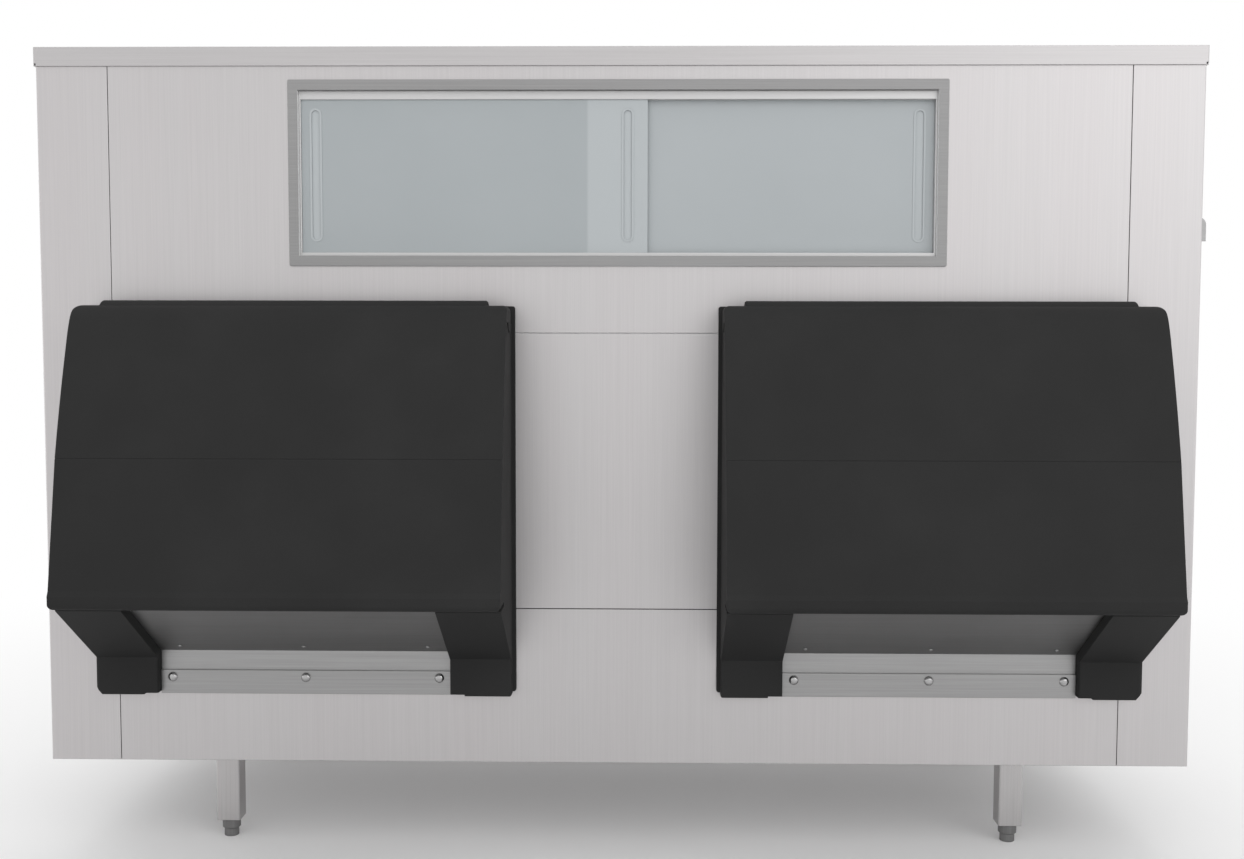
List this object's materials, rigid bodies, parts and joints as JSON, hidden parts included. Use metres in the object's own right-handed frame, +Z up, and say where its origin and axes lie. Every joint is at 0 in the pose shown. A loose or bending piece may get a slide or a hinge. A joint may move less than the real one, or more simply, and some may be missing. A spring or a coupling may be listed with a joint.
{
  "type": "ice storage bin",
  "caption": "Insulated stainless steel ice bin on square legs, with lift-up black chute doors in front, a sliding window above them and an ice inlet in its roof.",
  "frame": {"origin": "bottom centre of the whole part's bounding box, on the floor under the cabinet", "axes": "+X to the right along the front, +Y from the front to the back, +Z up"},
  "size_m": [1.8495, 1.004, 1.3095],
  "materials": {
    "stainless": "brushed",
    "tray_steel": "brushed",
    "door_plastic": "matte moulded",
    "liner_plastic": "satin moulded",
    "foam": "closed-cell foam",
    "frame_metal": "satin",
    "clear_pane": "clear",
    "pull_plastic": "satin",
    "rubber": "matte",
    "gate_plastic": "satin",
    "bright_steel": "bright",
    "leg_steel": "brushed",
    "foot_metal": "grey",
    "drain_plastic": "satin"
  },
  "bodies": {
    "cabinet": {"side_panel_left": "stainless", "side_panel_right": "stainless", "lower_panel": "stainless", "centre_panel": "stainless", "window_panel": "stainless", "back_panel": "stainless", "base_pan": "stainless", "top_cover": "stainless", "machine_gasket": "rubber", "insulation_front": "foam", "insulation_back": "foam", "insulation_left": "foam", "insulation_right": "foam", "insulation_floor": "foam", "insulation_top": "foam", "liner": "liner_plastic", "drain_fitting": "drain_plastic", "drain_strainer": "drain_plastic", "window_frame": "frame_metal", "window_track": "frame_metal", "side_hook": "stainless", "hook_screws": "bright_steel", "leg_front_left": "leg_steel", "leg_front_right": "leg_steel", "leg_rear_left": "leg_steel", "leg_rear_right": "leg_steel", "leg_bolts": "bright_steel", "chute_frame_left": "door_plastic", "chute_tray_left": "tray_steel", "clamp_strip_left": "stainless", "strip_bolts_left": "bright_steel", "tray_rivets_left": "bright_steel", "gate_tracks_left": "gate_plastic", "hinge_rod_left": "bright_steel", "chute_frame_right": "door_plastic", "chute_tray_right": "tray_steel", "clamp_strip_right": "stainless", "strip_bolts_right": "bright_steel", "tray_rivets_right": "bright_steel", "gate_tracks_right": "gate_plastic", "hinge_rod_right": "bright_steel"},
    "lid_left": {"lid_left": "door_plastic", "lid_liner_left": "door_plastic", "lid_gaskets_left": "rubber"},
    "gate_left": {"ice_gate_left": "gate_plastic", "gate_handle_left": "door_plastic"},
    "lid_right": {"lid_right": "door_plastic", "lid_liner_right": "door_plastic", "lid_gaskets_right": "rubber"},
    "gate_right": {"ice_gate_right": "gate_plastic", "gate_handle_right": "door_plastic"},
    "pane_left": {"window_pane_left": "clear_pane", "pane_pulls_left": "pull_plastic"},
    "pane_right": {"window_pane_right": "clear_pane", "pane_pulls_right": "pull_plastic"},
    "foot_front_left": {"foot_front_left": "foot_metal"},
    "foot_front_right": {"foot_front_right": "foot_metal"},
    "foot_rear_left": {"foot_rear_left": "foot_metal"},
    "foot_rear_right": {"foot_rear_right": "foot_metal"}
  },
  "joints": [
    {"name": "lid_left_hinge", "type": "hinge", "parent": "cabinet", "child": "lid_left", "pos_m": [-0.4985, -0.343, 0.882], "axis": [-1, 0, 0], "range_deg": [0, 100]},
    {"name": "gate_left_slide", "type": "slide", "parent": "cabinet", "child": "gate_left", "axis": [0, 0, 1], "range_m": [0, 0.2]},
    {"name": "lid_right_hinge", "type": "hinge", "parent": "cabinet", "child": "lid_right", "pos_m": [0.4985, -0.343, 0.882], "axis": [-1, 0, 0], "range_deg": [0, 100]},
    {"name": "gate_right_slide", "type": "slide", "parent": "cabinet", "child": "gate_right", "axis": [0, 0, 1], "range_m": [0, 0.2]},
    {"name": "pane_left_slide", "type": "slide", "parent": "cabinet", "child": "pane_left", "axis": [1, 0, 0], "range_m": [0, 0.449]},
    {"name": "pane_right_slide", "type": "slide", "parent": "cabinet", "child": "pane_right", "axis": [-1, 0, 0], "range_m": [0, 0.449]},
    {"name": "foot_front_left_screw", "type": "slide", "parent": "cabinet", "child": "foot_front_left", "axis": [0, 0, -1], "range_m": [0, 0.025]},
    {"name": "foot_front_right_screw", "type": "slide", "parent": "cabinet", "child": "foot_front_right", "axis": [0, 0, -1], "range_m": [0, 0.025]},
    {"name": "foot_rear_left_screw", "type": "slide", "parent": "cabinet", "child": "foot_rear_left", "axis": [0, 0, -1], "range_m": [0, 0.025]},
    {"name": "foot_rear_right_screw", "type": "slide", "parent": "cabinet", "child": "foot_rear_right", "axis": [0, 0, -1], "range_m": [0, 0.025]}
  ]
}
